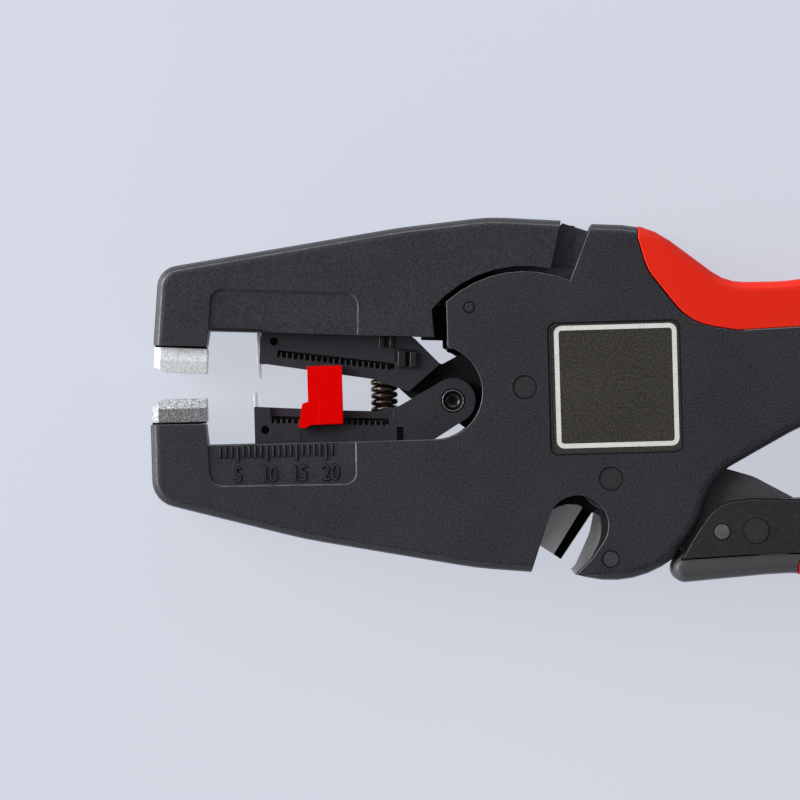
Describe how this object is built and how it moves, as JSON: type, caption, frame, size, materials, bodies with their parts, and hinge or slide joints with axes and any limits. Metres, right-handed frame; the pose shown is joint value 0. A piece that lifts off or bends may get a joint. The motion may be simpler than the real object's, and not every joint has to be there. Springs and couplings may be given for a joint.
{
  "type": "automatic wire stripper",
  "caption": "Self-adjusting wire stripping pliers with clamping jaws, sliding stripping blades, a length stop, a side cutter and two cushioned handles.",
  "frame": {"origin": "axis of the upper jaw's pivot at the back face, where the pivot pin's end is flush", "axes": "+X from the jaws to the handles, +Y towards the upper jaw and upper handle, +Z out of the front face"},
  "size_m": [0.1941, 0.0679, 0.016],
  "materials": {
    "charcoal_plastic": "fine grained matt",
    "dark_plastic": "matt",
    "red_rubber": "soft matt",
    "red_plastic": "glossy",
    "label_grey": "satin",
    "bright_steel": "blasted, sparkling",
    "blade_steel": "brushed",
    "dark_steel": "blackened",
    "spring_steel": "drawn wire"
  },
  "bodies": {
    "housing": {"housing_front_shell": "charcoal_plastic", "housing_rear_shell": "charcoal_plastic", "jaw_pivot_pin": "dark_steel", "lever_pivot_pin": "dark_steel", "fixed_blade_pin": "dark_steel", "shell_dowel": "dark_steel", "label_plate": "label_grey", "fixed_cutter_blade": "blade_steel", "handle_grip": "red_rubber", "lower_clamp_jaw": "bright_steel", "return_spring": "spring_steel"},
    "upper_jaw": {"jaw_cover_front": "charcoal_plastic", "jaw_cover_rear": "charcoal_plastic", "jaw_frame": "dark_steel", "upper_clamp_jaw": "bright_steel"},
    "lever": {"lever_body": "charcoal_plastic", "lever_pin_small": "dark_steel", "lever_pin_large": "dark_steel", "moving_cutter_blade": "blade_steel", "lever_grip": "red_rubber"},
    "rocker": {"rocker": "dark_steel"},
    "carriage": {"lower_arm": "dark_plastic", "lower_stripping_blade": "blade_steel", "arm_rivet": "dark_steel", "pull_bar": "dark_steel", "arm_spring": "spring_steel"},
    "upper_arm": {"upper_arm": "dark_plastic", "upper_stripping_blade": "blade_steel"},
    "stop": {"length_stop": "red_plastic"}
  },
  "joints": [
    {"name": "lever_swing", "type": "hinge", "parent": "housing", "child": "lever", "pos_m": [0.0142, -0.0159, 0.008], "axis": [0, 0, -1], "range_deg": [-8, 20], "stiffness_Nm_per_rad": 1, "deforming": ["return_spring"]},
    {"name": "jaw_open", "type": "hinge", "parent": "housing", "child": "upper_jaw", "pos_m": [0, 0, 0.008], "axis": [0, 0, -1], "range_deg": [-3.2, 8]},
    {"name": "carriage_slide", "type": "slide", "parent": "housing", "child": "carriage", "axis": [-1, 0, 0], "range_m": [-0.00312, 0.0078]},
    {"name": "arm_open", "type": "hinge", "parent": "carriage", "child": "upper_arm", "pos_m": [-0.0122, -0.0019, 0.008], "axis": [0, 0, -1], "range_deg": [-3.6, 9], "deforming": ["arm_spring"]},
    {"name": "rocker_turn", "type": "hinge", "parent": "housing", "child": "rocker", "pos_m": [0, 0, 0.0076], "axis": [0, 0, -1], "range_deg": [-16, 40]},
    {"name": "stop_slide", "type": "slide", "parent": "carriage", "child": "stop", "axis": [0.9988, -0.0488, 0], "range_m": [-0.0063, 0.0085]}
  ],
  "couplings": [
    {"joint": "jaw_open", "follows": "lever_swing", "ratio": 0.4},
    {"joint": "carriage_slide", "follows": "lever_swing", "m_per_rad": 0.022345},
    {"joint": "arm_open", "follows": "lever_swing", "ratio": 0.45},
    {"joint": "rocker_turn", "follows": "lever_swing", "ratio": 2}
  ]
}
